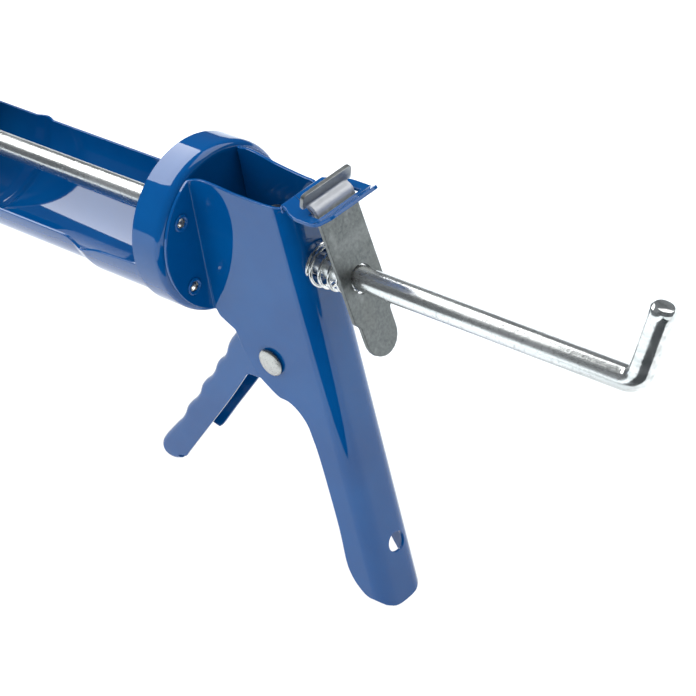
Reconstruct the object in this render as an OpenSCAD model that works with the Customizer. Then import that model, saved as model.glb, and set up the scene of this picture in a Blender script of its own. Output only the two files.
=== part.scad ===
// Caulking gun, half-barrel pattern, for a 310 ml cartridge.
// X runs forward towards the nozzle, Y to the user's left, Z up.
// The origin is on the push rod's axis, in the front rim of the rear collar.

/* [Barrel] */
// Inside radius of the cartridge trough
trough_r = 24.9; // [24.4:0.1:25.2]
// Length of the trough in front of the collar
trough_length = 222; // [190:1:240]
// Thickness of the trough sheet
trough_sheet = 1.0; // [0.8:0.1:1.2]
// How far the trough's top edges lie below the rod axis
trough_edge_drop = 4.8; // [3:0.1:8]
// Distance of the first stiffening bead from the collar
bead_x = 102; // [85:1:120]
// Distance from the first bead to the second
bead_pitch = 66; // [50:1:70]
// Height of the beads over the trough
bead_height = 1.2; // [0.6:0.1:1.6]

// How much wider the trough's rear end is than its long part, on the radius
trough_step = 1.35; // [1:0.05:2]

/* [Collar] */
// Depth of the rear collar along the rod
collar_depth = 13; // [11:0.5:15]
// Thickness of the collar sheet
collar_sheet = 1.2; // [1.0:0.1:1.4]

/* [Handle frame] */
// Thickness of the frame sheet
frame_sheet = 1.2; // [1.0:0.1:1.5]
// Half of the frame's width at its spine
spine_half = 9.7; // [9.5:0.1:10.5]
// Distance of the spine behind the collar's front rim, at the rod
spine_x = 55.6; // [54:0.2:58]
// Lean of the handle's back, in degrees
handle_lean = 5.3; // [4:0.1:6.5]
// How far the handle's end lies below the rod axis
handle_drop = 130; // [115:1:145]
// Radius of the hanging hole
hang_r = 3.6; // [3:0.1:4]

/* [Trigger] */
// Half of the trigger's outside width
trigger_half = 7.4; // [7:0.1:7.8]
// Thickness of the trigger sheet
trigger_sheet = 1.2; // [1.0:0.1:1.4]
// Reach of the finger grip from the pivot
trigger_reach = 98; // [90:1:104]
// Radius of the pivot rivet's shank
pivot_r = 3; // [2.5:0.1:3.2]

/* [Push rod] */
// Radius of the push rod
rod_r = 4; // [3.8:0.1:4.1]
// Length of the rod from the plunger to the hook's axis
rod_length = 312; // [290:1:330]
// Distance of the hook behind the collar's front rim as drawn
hook_x = 182; // [176:1:190]
// Height of the hook over the rod axis
hook_height = 27.2; // [18:0.2:32]
// Gap between the plunger disc and the trough
plunger_gap = 1.3; // [0.9:0.1:2]

/* [Clearances] */
// Running fit of the rod in its guide, on the radius
guide_fit = 0.06; // [0.03:0.01:0.1]
// Free gap of the rod in the holes that do not guide it
rod_free = 0.45; // [0.3:0.05:0.6]
// Gap between the thrust pin and the drive plate
thrust_gap = 0.3; // [0.3:0.05:0.5]

// Gap between the trough's end and the collar around it
seam_gap = 0.05; // [0.03:0.01:0.1]
// Least gap between the trigger's cheeks, the washers and the frame
side_gap = 0.3; // [0.3:0.05:0.4]

/* [View] */
// Which sub-part to draw

/* [Hidden] */
$fn = 64;
e = 0.01;
narrow_r = trough_r + trough_sheet;
wide_r = narrow_r + trough_step;
collar_r = wide_r + seam_gap + collar_sheet;
plunger_r = trough_r - plunger_gap;
step_x = 29;
step_end = 35;
pivot_x = -35.6;
pivot_z = -38.2;
pin_h = 24;
pin_swing = 14;
pin_r = 2;
head_lift = 0.3;
pin_x = pivot_x - pin_h * sin(pin_swing);
pin_z = pivot_z + pin_h * cos(pin_swing);
drive_t = 3;
guide_r = rod_r + 2;
drive_x = pin_x + pin_r + thrust_gap;
plunger_x = rod_length - hook_x;
eyelet_y = 18.1;
eyelet_z = 11.9;
lean = handle_lean;
splay = 3.1;
fold_z = 24.6;
fold_x = fold_z * tan(lean) - spine_x;
// Outer face of the frame's cheek at a point seen from the side
function cheek_y(x, z) = spine_half + (x - z * tan(lean) + spine_x - 4) * tan(splay);
pivot_y = cheek_y(pivot_x, pivot_z);
washer_y = trigger_half + side_gap;
washer_t = pivot_y - frame_sheet - 5.4 * tan(splay) - 0.05 - washer_y;
rel_tilt = 12.85;
rel_x = fold_x - 19.9;
rel_t = 1.6;
rel_half = 8.5;
slot_gap = 0.9;

// Sheet profile of the trough: radius against distance, one side at offset o
function bead(xc, r) = [for (a = [0 : 20 : 180]) [r + bead_height * sin(a), xc - 4.5 * cos(a)]];
function trough_line(o) = concat(
  [[wide_r - o, -9], [wide_r - o, step_x], [narrow_r - o, step_end]],
  bead(bead_x, narrow_r - o),
  bead(bead_x + bead_pitch, narrow_r - o),
  [[narrow_r - o, trough_length]]);
function flip(v) = [for (i = [len(v) - 1 : -1 : 0]) v[i]];

module along_x() {
  rotate([0, 90, 0]) children();
}

// Extrudes an outline drawn in X and Z across the width 2*h
module side(h) {
  translate([0, h, 0]) rotate([90, 0, 0]) linear_extrude(2 * h) children();
}

module cradle() {
  color([0.02, 0.24, 0.5]) difference() {
    along_x() rotate_extrude($fn = 128) polygon(concat(trough_line(0), flip(trough_line(trough_sheet))));
    side(40) polygon([[-20, -3], [2, -3.6], [22, -5], [29.5, -8.2], [32, -8.6], [34.4, -7.2],
      [36.6, -trough_edge_drop],
      [trough_length + 9, -trough_edge_drop], [trough_length + 9, 40], [-20, 40]]);
  }
}

module nose_plate() {
  color([0.02, 0.24, 0.5]) difference() {
    union() {
      translate([trough_length - 2, 0, 0]) along_x() cylinder(h = 1.6, r = trough_r - 0.05);
      translate([trough_length - 9, 0, 0]) along_x() difference() {
        cylinder(h = 8, r = trough_r - 0.05);
        translate([0, 0, -e]) cylinder(h = 8 + 2 * e, r = trough_r - 1.25);
      }
    }
    translate([trough_length - 10, -30, -trough_edge_drop]) cube([8, 60, 60]);
    translate([trough_length - 3, -30, 8]) cube([6, 60, 60]);
    translate([trough_length - 3, 0, 0]) along_x() cylinder(h = 6, r = 8.5);
    translate([trough_length - 3, -8.5, 0]) cube([6, 17, 40]);
    for (a = [28, 90, 152]) rotate([-a, 0, 0]) translate([trough_length - 5.5, 0, 0]) rotate([-90, 0, 0]) {
      cylinder(h = 40, r = 1.62);
    }
  }
}

module nose_rivets() {
  color([0.7, 0.72, 0.74]) for (a = [28, 90, 152]) rotate([-a, 0, 0])
    translate([trough_length - 5.5, 0, 0]) rotate([-90, 0, 0]) {
      translate([0, 0, trough_r - 2.2]) cylinder(h = 2.1, r = 1.6);
      translate([0, 0, trough_r - 2.4]) cylinder(h = 0.8, r = 2.6);
    }
}

module rear_collar() {
  color([0.02, 0.24, 0.5]) difference() {
    union() {
      along_x() rotate_extrude($fn = 128) polygon([
        [4, -collar_depth], [collar_r - 2.6, -collar_depth], [collar_r - 1.3, -collar_depth + 0.35],
        [collar_r - 0.35, -collar_depth + 1.3], [collar_r, -collar_depth + 2.6], [collar_r, 0],
        [collar_r - collar_sheet, 0], [collar_r - collar_sheet, -collar_depth + 2.6],
        [collar_r - collar_sheet - 0.5, -collar_depth + 1.7],
        [collar_r - collar_sheet - 1.4, -collar_depth + collar_sheet], [4, -collar_depth + collar_sheet]]);
    }
    translate([-collar_depth - 1, 0, 0]) along_x() cylinder(h = 4, r = guide_r + 0.05);
    eyelet_holes();
  }
}

module eyelet_holes() {
  for (y = [-1, 1], z = [-1, 1]) translate([-collar_depth - 4, y * eyelet_y, z * eyelet_z]) along_x() {
    cylinder(h = 8, r = 2.25);
  }
}

module collar_eyelets() {
  color([0.78, 0.79, 0.8]) for (y = [-1, 1], z = [-1, 1]) {
    translate([0, y * eyelet_y, z * eyelet_z]) difference() {
      union() {
        translate([-collar_depth - frame_sheet - 0.5, 0, 0]) along_x() {
          cylinder(h = frame_sheet + collar_sheet + 1, r = 2.2);
        }
        translate([-collar_depth - frame_sheet - 0.6, 0, 0]) along_x() cylinder(h = 0.55, r = 3);
        translate([-collar_depth + collar_sheet + 0.05, 0, 0]) along_x() cylinder(h = 0.6, r = 3);
      }
      translate([-collar_depth - 6, 0, 0]) along_x() cylinder(h = 12, r = 1.5);
    }
  }
}

module rod_guide() {
  color([0.75, 0.76, 0.78]) difference() {
    union() {
      translate([-collar_depth - 2, 0, 0]) along_x() cylinder(h = 6, r = guide_r);
      translate([-collar_depth - 2, 0, 0]) along_x() cylinder(h = 1.9, r = guide_r + 1.8);
    }
    translate([-collar_depth - 6, 0, 0]) along_x() cylinder(h = 16, r = rod_r + guide_fit);
  }
}

// Half of the folded sheet's section, seen from above, at offset o from the outer face
function fold_side(o, s) = concat(
  [for (a = [180 : 15 : 270]) [4 + (4 - o) * cos(a), s * ((spine_half - 4) - (4 - o) * sin(a))]],
  [[70, s * (spine_half - o + 66 * tan(splay))]]);
function fold_line(o) = concat(flip(fold_side(o, 1)), fold_side(o, -1));

module fold() {
  translate([-spine_x, 0, 0]) rotate([0, lean, 0]) translate([0, 0, -160]) linear_extrude(220) difference() {
    polygon(fold_line(0));
    translate([0, 0]) polygon(concat([[71, 6]], fold_line(frame_sheet), [[71, -6]]));
  }
}

// Outline of the cheeks seen from the side
function cheek_line() = [
  [-collar_depth - 0.6, 24.6], [-17, 25.2], [-21, 25.3], [-26, 24.8], [-32, 24.0], [-40, 23.4], [-48, 23.3],
  [-52, 23.5], [-60, 24.7], [-90, 24.7], [-90, -handle_drop - 5], [-64, -handle_drop - 5],
  [-62, 1.6 - handle_drop], [-58.4, 4.6 - handle_drop], [-55.4, 8 - handle_drop],
  [-53.4, 12 - handle_drop], [-52.4, 17 - handle_drop], [-51.9, -100], [-50.3, -84], [-48.7, -71],
  [-47.4, -64.5], [-46.1, -59.6], [-43.2, -55.4], [-39.6, -52.9], [-35.2, -52.0], [-32.7, -50.2],
  [-28, -46], [-25.6, -42], [-23.3, -36.5], [-21.4, -30.2], [-17, -28], [-collar_depth - 0.6, -26.6]];

// Rounded lower end of the handle, seen from behind
function end_line() = [
  [-40, 60], [-40, 4 - handle_drop], [-9.9, 4 - handle_drop], [-8, 1.9 - handle_drop], [-5.4, 0.6 - handle_drop],
  [-2.6, 0.1 - handle_drop], [0, -handle_drop], [2.6, 0.1 - handle_drop], [5.4, 0.8 - handle_drop],
  [8, 2.2 - handle_drop], [9.9, 4.2 - handle_drop], [40, 4.2 - handle_drop], [40, 60]];

module handle_frame() {
  color([0.02, 0.24, 0.5]) difference() {
    union() {
      intersection() {
        fold();
        side(20) polygon(cheek_line());
        rotate([90, 0, 90]) translate([0, 0, -100]) linear_extrude(100) polygon(end_line());
      }
      flanges();
      tab();
    }
    translate([-70, 0, 0]) along_x() cylinder(h = 20, r = rod_r + rod_free);
    translate([pivot_x, -30, pivot_z]) rotate([-90, 0, 0]) cylinder(h = 60, r = pivot_r + 0.05);
    hang_hole();
    eyelet_holes();
    tab_slot();
  }
}

module hang_hole() {
  translate([-spine_x, -1.8, 0]) rotate([0, lean, 0]) translate([-6, 0, -108]) along_x() {
    cylinder(h = 12, r = hang_r);
  }
}

// The two riveted flanges on the collar's rear face
module flanges() {
  intersection() {
    translate([-collar_depth - frame_sheet, 0, 0]) along_x() cylinder(h = frame_sheet, r = collar_r - 1.6);
    union() {
      for (s = [-1, 1]) scale_y(s) {
        translate([-40, 11.4, -26.4]) cube([40, 30, 51.4]);
      }
    }
  }
  for (s = [-1, 1]) scale_y(s) translate([0, 0, -24.5]) linear_extrude(48.5) polygon([
    [-16.8, 11.75], [-15.6, 12.1], [-14.8, 13], [-14.15, 14.4], [-13.2, 14.4], [-13.2, 11.2], [-14, 10.65],
    [-16.8, 10.6]]);
}

module scale_y(s) {
  if (s > 0) {
    children();
  } else {
    mirror([0, 1, 0]) children();
  }
}

// The tab folded back from the top of the spine, with its raised rear lip
module tab() {
  translate([fold_x, 0, 0]) difference() {
    side(spine_half + 3.4) polygon([[1.1, 23.4], [1.6, 24.9], [0.9, 25.7], [-15.9, 25.7], [-17.7, 26.1],
      [-21.7, 28.7], [-22.3, 27.7], [-18.1, 24.9], [-16.1, 24.5], [-2.2, 24.5], [-1.9, 23.4]]);
    for (s = [-1, 1]) scale_y(s) translate([0, spine_half, 20]) linear_extrude(12) polygon([
      [4, -0.2], [0.5, -0.2], [-1.9, 0.5], [-4.1, 1.7], [-6.3, 2.8], [-9.2, 3.4], [-9.2, 6], [4, 6]]);
    for (s = [-1, 1]) scale_y(s) translate([0, spine_half, 20]) linear_extrude(12) polygon([
      [-27, 1.1], [-21.1, 1.1], [-19.3, 1.9], [-17.5, 2.9], [-15.2, 3.4], [-15.2, 6], [-27, 6]]);
  }
}

module tab_slot() {
  translate([fold_x - 15.45, -rel_half - slot_gap, 19]) cube([4.2, 2 * (rel_half + slot_gap), 12]);
}

module pivot_rivet() {
  color([0.76, 0.75, 0.72]) translate([pivot_x, 0, pivot_z]) rotate([-90, 0, 0]) {
    translate([0, 0, -pivot_y - 0.9]) cylinder(h = 2 * pivot_y + 1.8, r = pivot_r);
    translate([0, 0, pivot_y + head_lift]) cylinder(h = 0.9, r = pivot_r + 1.9);
    translate([0, 0, pivot_y + head_lift + 0.9]) cylinder(h = 0.5, r1 = pivot_r + 1.9, r2 = pivot_r + 0.6);
    translate([0, 0, -pivot_y - head_lift - 0.9]) cylinder(h = 0.9, r = pivot_r + 1.7);
    translate([0, 0, -pivot_y - head_lift - 1.3]) cylinder(h = 0.4, r1 = pivot_r + 0.4, r2 = pivot_r + 1.7);
  }
}

module pivot_washers() {
  color([0.72, 0.73, 0.75]) for (s = [-1, 1]) scale_y(s) {
    translate([pivot_x, washer_y, pivot_z]) rotate([-90, 0, 0]) difference() {
      cylinder(h = washer_t, r = 5.4);
      translate([0, 0, -1]) cylinder(h = 4, r = pivot_r + 0.05);
    }
  }
}

// Trigger outline seen from the side, in a frame with U along the grip from the pivot
grip_dir = -43;
function g(u, w) = [u * cos(grip_dir) - w * sin(grip_dir), u * sin(grip_dir) + w * cos(grip_dir)];
k = trigger_reach / 98;
grip_front = [
  g(4, 16.4), g(11, 15.6), g(18, 14.7), g(22 * k, 13.7), g(25 * k, 12.4), g(28 * k, 11.8), g(31 * k, 12.1),
  g(34 * k, 11.8), g(38 * k, 10.3), g(42 * k, 9.7), g(46 * k, 9.9), g(50 * k, 9.6), g(54 * k, 8.0),
  g(58 * k, 7.4), g(62 * k, 7.5), g(66 * k, 7.3), g(70 * k, 6.0), g(74 * k, 5.2), g(78 * k, 5.2),
  g(84 * k, 4.9), g(89 * k, 4.6), g(93 * k, 3.9), g(95.6 * k, 2.4), g(96.6 * k, 0.2), g(95.6 * k, -2.4),
  g(93.4 * k, -4.4), g(90.4 * k, -5.6)];
grip_rear = [g(86 * k, -6), g(82.6 * k, -5.4), g(62 * k, -3.0), g(40, -0.4), g(22.6, 2.2), g(21, 2.0),
  g(18, -0.6), g(10, -6.4)];

module trigger() {
  color([0.02, 0.24, 0.5]) translate([pivot_x, 0, pivot_z]) difference() {
    union() {
      side(trigger_half) polygon(concat(grip_front, grip_rear, [[-7.2, -2], [-8.4, 3], [-10.9, 21.5],
        [-9.9, 25.7], [-6.7, 28.4], [-2.6, 27.9], [-0.4, 24.6], [2.4, 13.8], [5.5, 9.5]]));
    }
    side(trigger_half - trigger_sheet) translate(g(-0.4, -trigger_sheet)) polygon(concat(
      grip_front, [g(97 * k, -40), g(-30, -60), g(-60, 30), g(2, 40)]));
    translate([0, -trigger_half, 0]) side(3) polygon([g(79 * k, -20), g(79 * k, -3.6), g(84 * k, 0.5),
      g(90 * k, 2), g(110 * k, 2), g(110 * k, -20)]);
    side(trigger_half - trigger_sheet) polygon([[-30, -20], [9, -9], [11, 4], [9, 40], [-30, 40]]);
    rotate([-90, 0, 0]) translate([0, 0, -20]) cylinder(h = 40, r = pivot_r + 0.06);
    translate([pin_x - pivot_x, 0, pin_z - pivot_z]) rotate([-90, 0, 0]) translate([0, 0, -20]) {
      cylinder(h = 40, r = pin_r + 0.02);
    }
  }
}

module thrust_pin() {
  color([0.7, 0.71, 0.73]) translate([pin_x, 0, pin_z]) rotate([-90, 0, 0]) {
    translate([0, 0, -trigger_half - 0.5]) cylinder(h = 2 * trigger_half + 1, r = pin_r);
  }
}

module drive_plate() {
  color([0.66, 0.67, 0.69]) difference() {
    union() {
      translate([drive_x, -5.7, pin_z - 3]) cube([drive_t, 11.4, 16]);
      translate([drive_x, -7.2, -7.5]) cube([drive_t, 14.4, 15]);
      translate([drive_x, 0, 7.5]) along_x() cylinder(h = drive_t, r = 7.2);
    }
    translate([drive_x - 1, 0, 0]) along_x() cylinder(h = drive_t + 2, r = rod_r + guide_fit);
  }
}

// A wire wound about X from x0 to x1, from radius r0 to r1
module coil(x0, x1, r0, r1, turns, wire) {
  n = 20 * turns;
  m = 8;
  dead = 1;
  pts = [for (i = [0 : n], j = [0 : m - 1]) let (
    t = i / n,
    q = t * turns,
    f = q < dead ? 0 : q > turns - dead ? 1 : (q - dead) / (turns - 2 * dead),
    x = x0 + (x1 - x0) * f * (1 - 2 * wire * 1.02 / abs(x1 - x0))
      + (x1 > x0 ? 1 : -1) * wire * 1.02 * (q < dead ? q : q > turns - dead ? 1 + q - turns + dead : 1),
    r = r0 + (r1 - r0) * t + wire / 2 * cos(360 * j / m),
    a = 360 * q) [x + wire / 2 * sin(360 * j / m), r * cos(a), r * sin(a)]];
  faces = concat(
    [[for (j = [0 : m - 1]) j]],
    [for (i = [0 : n - 1], j = [0 : m - 1]) [i * m + j, (i + 1) * m + j, (i + 1) * m + (j + 1) % m]],
    [for (i = [0 : n - 1], j = [0 : m - 1]) [i * m + j, (i + 1) * m + (j + 1) % m, i * m + (j + 1) % m]],
    [[for (j = [m - 1 : -1 : 0]) n * m + j]]);
  polyhedron(pts, faces, convexity = 8);
}

module drive_spring() {
  color([0.6, 0.62, 0.64]) coil(drive_x + drive_t + 0.65, -collar_depth - 3.8, guide_r, guide_r, 6, 1.1);
}

module spring_seat() {
  color([0.7, 0.71, 0.73]) translate([-collar_depth - 3.2, 0, 0]) along_x() difference() {
    cylinder(h = 1.1, r = guide_r + 2);
    translate([0, 0, -1]) cylinder(h = 4, r = rod_r + rod_free);
  }
}

// Rear and front faces of the tilted release plate at a height
function rear_face(z) = rel_x + z * tan(rel_tilt);
function front_face(z) = rear_face(z) + rel_t / cos(rel_tilt);
thumb_half = rel_half - 1.8;

// The release plate with its forward jog over the tab, its upper lip and its thumb end
module release_plate() {
  color([0.7, 0.71, 0.72]) difference() {
    union() {
      intersection() {
        side(rel_half) polygon([[rear_face(-28), -28], [front_face(-28), -28], [front_face(25.6), 25.6],
          [fold_x - 11.6, 26.6], [fold_x - 10.4, 26.9], [fold_x - 9.7, 27.7], [fold_x - 9.9, 28.6],
          [fold_x - 11.3, 28.7], [fold_x - 11.9, 28.1], [fold_x - 13.4, 27.6], [rear_face(26.6), 26.6]]);
        rotate([90, 0, 90]) translate([0, 0, rel_x - 20]) linear_extrude(50) polygon(concat(
          [for (a = [180 : 12 : 360]) [thumb_half * cos(a), thumb_half * sin(a) - 19.5]],
          [[thumb_half, -13.2], [rel_half, -11.4], [rel_half + 1, 40], [-rel_half - 1, 40],
          [-rel_half, -11.4], [-thumb_half, -13.2]]));
      }
      translate([fold_x, 0, 0]) side(rel_half + 2.4) polygon([[-9.8, 27.9], [-10.9, 32.3], [-11.6, 33],
        [-12.3, 32.2], [-11.4, 28.4], [-10.7, 27.9]]);
    }
    translate([rel_x - 5, 0, 0]) along_x() cylinder(h = 12, r = rod_r + 0.7);
  }
}

module release_spring() {
  color([0.6, 0.62, 0.64]) coil(-spine_x - 0.9, rel_x + 2.7, rod_r + 3.3, rod_r + 1.7, 4, 1.1);
}

module push_rod() {
  color([0.72, 0.74, 0.76]) {
    translate([-hook_x + 6, 0, 0]) along_x() cylinder(h = plunger_x + hook_x - 6 - 0.2, r = rod_r);
    translate([plunger_x - 0.3, 0, 0]) along_x() cylinder(h = 9.5, r = 2.95);
    rotate([13.9, 0, 0]) hook();
  }
}

hook_turn = 73.4;
bend_r = 6;
module hook() {
  translate([-hook_x + 6, 0, bend_r]) rotate([90, 0, 0]) rotate([0, 0, 270 - hook_turn - 3]) {
    rotate_extrude(angle = hook_turn + 6) translate([bend_r, 0]) circle(r = rod_r - 0.05);
  }
  translate([-hook_x + 6, 0, bend_r]) rotate([0, -(180 - hook_turn) + 90, 0]) {
    translate([-bend_r, 0, 0]) rotate_extrude() polygon([[0, 0], [rod_r, 0], [rod_r, hook_height - 5.4],
      [rod_r - 0.9, hook_height - 4.5], [0, hook_height - 4.5]]);
  }
}

module plunger_disc() {
  color([0.68, 0.7, 0.72]) translate([plunger_x, 0, 0]) difference() {
    along_x() rotate_extrude($fn = 96) polygon([
      [2, 1.4], [plunger_r - 9.6, 1.4], [plunger_r - 6.6, 0], [plunger_r - 1.5, 0], [plunger_r, -1.2], [plunger_r, -5],
      [plunger_r - 1.2, -5], [plunger_r - 1.2, -1.7], [plunger_r - 2, -1.2],
      [plunger_r - 7, -1.2], [plunger_r - 10, 0.2], [2, 0.2]]);
    translate([-4, 0, 0]) along_x() cylinder(h = 12, r = 3.0);
  }
}

module plunger_washer() {
  color([0.74, 0.75, 0.77]) translate([plunger_x + 1.5, 0, 0]) along_x() difference() {
    cylinder(h = 1.2, r = 8);
    translate([0, 0, -1]) cylinder(h = 4, r = 3.0);
  }
}

module plunger_nut() {
  color([0.74, 0.75, 0.77]) translate([plunger_x + 2.8, 0, 0]) along_x() difference() {
    cylinder(h = 5, r = 5.8, $fn = 6);
    translate([0, 0, -1]) cylinder(h = 8, r = 3.0);
  }
}

cradle();
nose_plate();
nose_rivets();
rear_collar();
collar_eyelets();
rod_guide();
handle_frame();
pivot_rivet();
pivot_washers();
trigger();
thrust_pin();
drive_plate();
drive_spring();
spring_seat();
release_plate();
release_spring();
push_rod();
plunger_disc();
plunger_washer();
plunger_nut();
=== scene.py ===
# %% [markdown]
# A caulking gun, rebuilt as the workshop makes it: pressed and folded sheet steel, wire springs, turned rivets and a
# bent push rod. The measured solids come in first. Every piece that shows is then made again as a fine surface in the
# same place, and gets its paint or plating. Lengths are written in millimetres and put into the meshes in metres.

# %% The measured frame
import bmesh
import bpy
import math
import numpy as np
from mathutils import Matrix, Vector
from mathutils.geometry import delaunay_2d_cdt


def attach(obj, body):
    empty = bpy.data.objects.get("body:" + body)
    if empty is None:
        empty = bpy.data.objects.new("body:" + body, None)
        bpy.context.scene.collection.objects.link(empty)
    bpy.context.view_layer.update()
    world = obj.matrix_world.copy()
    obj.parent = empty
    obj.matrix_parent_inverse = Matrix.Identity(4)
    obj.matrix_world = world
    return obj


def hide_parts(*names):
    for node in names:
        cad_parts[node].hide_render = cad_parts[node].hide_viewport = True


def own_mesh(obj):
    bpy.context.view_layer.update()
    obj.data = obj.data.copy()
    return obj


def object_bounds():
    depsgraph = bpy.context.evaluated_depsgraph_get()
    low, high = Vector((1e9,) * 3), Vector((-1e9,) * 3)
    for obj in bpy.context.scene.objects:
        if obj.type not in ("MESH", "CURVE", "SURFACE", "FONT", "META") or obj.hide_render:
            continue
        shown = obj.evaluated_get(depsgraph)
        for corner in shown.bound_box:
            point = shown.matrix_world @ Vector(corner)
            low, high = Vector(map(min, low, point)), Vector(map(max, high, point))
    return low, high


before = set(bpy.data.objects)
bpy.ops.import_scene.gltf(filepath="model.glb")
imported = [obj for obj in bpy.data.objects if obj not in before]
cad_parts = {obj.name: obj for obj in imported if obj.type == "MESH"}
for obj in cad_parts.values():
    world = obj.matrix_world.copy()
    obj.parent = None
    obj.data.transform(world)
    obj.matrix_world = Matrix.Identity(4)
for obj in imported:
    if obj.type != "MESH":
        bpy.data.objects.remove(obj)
cad_low, cad_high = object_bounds()
MM = 0.001
SHEET, PLATE = 1.2, 1.6  # thickness in mm: the folded blue sheet, and the nose and release plates

# %% [markdown]
# The camera stands behind the handle, above it and on the user's left, and is tipped a little to one side. Its three
# directions are the columns of its matrix: to the right, up, and backwards, away from what it looks at. They are
# squared up first, so that the matrix is a pure turn.

# %% Camera
looks = np.array([0.621, -0.553, -0.555])
upward = np.array([0.290, -0.497, 0.818])
looks = looks / np.linalg.norm(looks)
upward = upward - looks * (upward @ looks)
upward = upward / np.linalg.norm(upward)
right = np.cross(looks, upward)
turn = Matrix([[right[i], upward[i], -looks[i]] for i in range(3)]).to_4x4()
camera = bpy.data.objects.new("camera", bpy.data.cameras.new("camera"))
bpy.context.scene.collection.objects.link(camera)
camera.matrix_world = Matrix.Translation(Vector((-0.6484, 0.5232, 0.4947))) @ turn
camera.data.sensor_width = 36.0
camera.data.lens = 155.17
camera.data.clip_start, camera.data.clip_end = 0.05, 20.0
bpy.context.scene.camera = camera
print("camera", [round(v, 3) for v in camera.location])

# %% [markdown]
# A mesh is a list of points and a list of faces. A few small helpers make every piece here. One gives the faces of a
# grid of points, which is a surface of two parameters. One puts numpy arrays into a mesh, joins them where their points
# meet, and turns all faces the same way. One turns an open sheet over if it looks inwards. Two add the modifiers that
# finish a piece, and the last one gives it its body and its paint.

# %% Helpers: from arrays to a mesh
def grid_faces(rows, columns, wrap_rows=False, wrap_columns=False, first=0):
    """Point (i, j) has number first + i * columns + j, and a face joins (i, j), (i+1, j), (i+1, j+1) and (i, j+1)."""
    i = np.arange(rows if wrap_rows else rows - 1)
    j = np.arange(columns if wrap_columns else columns - 1)
    i, j = np.meshgrid(i, j, indexing="ij")
    k, m = (i + 1) % rows, (j + 1) % columns
    quads = np.stack([i * columns + j, k * columns + j, k * columns + m, i * columns + m], axis=-1)
    return quads.reshape(-1, 4) + first


def put_in_mesh(name, parts, weld=0.01):
    """parts is a list of (points in mm, faces). They become one object, with points nearer than weld mm made one."""
    points, faces, count = [], [], 0
    for where, which in parts:
        where = np.asarray(where, float).reshape(-1, 3)
        points.append(where)
        faces += [[int(v) + count for v in face] for face in which]
        count += len(where)
    mesh = bpy.data.meshes.new(name)
    mesh.from_pydata((np.concatenate(points) * MM).tolist(), [], faces)
    work = bmesh.new()
    work.from_mesh(mesh)
    bmesh.ops.remove_doubles(work, verts=work.verts, dist=weld * MM)
    bmesh.ops.dissolve_degenerate(work, dist=weld * MM * 0.5, edges=work.edges)
    bmesh.ops.recalc_face_normals(work, faces=work.faces)
    work.to_mesh(mesh)
    work.free()
    mesh.shade_smooth()
    piece = bpy.data.objects.new(name, mesh)
    bpy.context.scene.collection.objects.link(piece)
    return piece


def face_out(piece, near, direction):
    """Turns the whole surface over if the face nearest to a point looks the other way."""
    faces = piece.data.polygons
    middle = np.zeros(len(faces) * 3)
    normal = np.zeros(len(faces) * 3)
    faces.foreach_get("center", middle)
    faces.foreach_get("normal", normal)
    nearest = np.linalg.norm(middle.reshape(-1, 3) - np.array(near) * MM, axis=1).argmin()
    if normal.reshape(-1, 3)[nearest] @ np.array(direction) < 0:
        piece.data.flip_normals()


def add_bevel(piece, width, segments=2, angle=35):
    """Rounds every edge sharper than angle degrees to a small radius of width mm, and keeps flat faces flat."""
    round_edge = piece.modifiers.new("rounded edges", "BEVEL")
    round_edge.width = width * MM
    round_edge.segments = segments
    round_edge.limit_method = "ANGLE"
    round_edge.angle_limit = math.radians(angle)
    round_edge.use_clamp_overlap = False
    round_edge.harden_normals = True


def add_thickness(piece, sheet):
    """Gives a surface the sheet's thickness in mm, on the side away from its normals."""
    wall = piece.modifiers.new("sheet thickness", "SOLIDIFY")
    wall.thickness = sheet * MM
    wall.offset = -1.0
    wall.use_even_offset = True
    wall.use_rim = True


def place(piece, body, finish, slot, *nodes):
    """Rides the piece on its body, lets it stand for its measured solids, and gives it its finish."""
    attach(piece, body)
    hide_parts(*nodes)
    piece.data.materials.clear()
    piece.data.materials.append(finish)
    print(piece.name, "on", body, "has", len(piece.data.polygons), "faces")
    return piece


# %% [markdown]
# Round pieces are a profile turned about a line. The profile is a list of (distance along the line, radius); a radius
# of nought closes the surface at a pole. Corners of a profile can be rounded first, by cutting each with a curve.

# %% Helpers: profiles and turned pieces
def rounded(profile, radii, steps=4):
    """Each corner of an open profile becomes a curve between two points that lie its radius before and after it.
    The curve is the quadratic (1-t)^2 a + 2 t (1-t) corner + t^2 b."""
    profile = [np.asarray(p, float) for p in profile]
    out = [profile[0]]
    t = np.linspace(0, 1, steps + 1)[:, None]
    for before, corner, after, r in zip(profile, profile[1:], profile[2:], radii):
        if r <= 0:
            out.append(corner)
            continue
        back, ahead = before - corner, after - corner
        a = corner + back * min(0.5, r / np.linalg.norm(back))
        b = corner + ahead * min(0.5, r / np.linalg.norm(ahead))
        out.extend((1 - t) ** 2 * a + 2 * t * (1 - t) * corner + t ** 2 * b)
    out.append(profile[-1])
    return np.array(out)


def turned(profile, around=64, axis="x", centre=(0, 0, 0)):
    """Point (i, j) lies at the profile's i-th distance along the axis, and at its radius turned by 2 pi j / around."""
    profile = np.asarray(profile, float)
    angle = np.linspace(0, 2 * np.pi, around, endpoint=False)
    along = np.repeat(profile[:, :1], around, axis=1)
    one = profile[:, 1:2] * np.cos(angle)
    two = profile[:, 1:2] * np.sin(angle)
    order = {"x": (along, one, two), "y": (two, along, one), "z": (one, two, along)}[axis]
    points = np.stack(order, axis=-1) + np.asarray(centre, float)
    return points.reshape(-1, 3), grid_faces(len(profile), around, wrap_columns=True)


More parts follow.
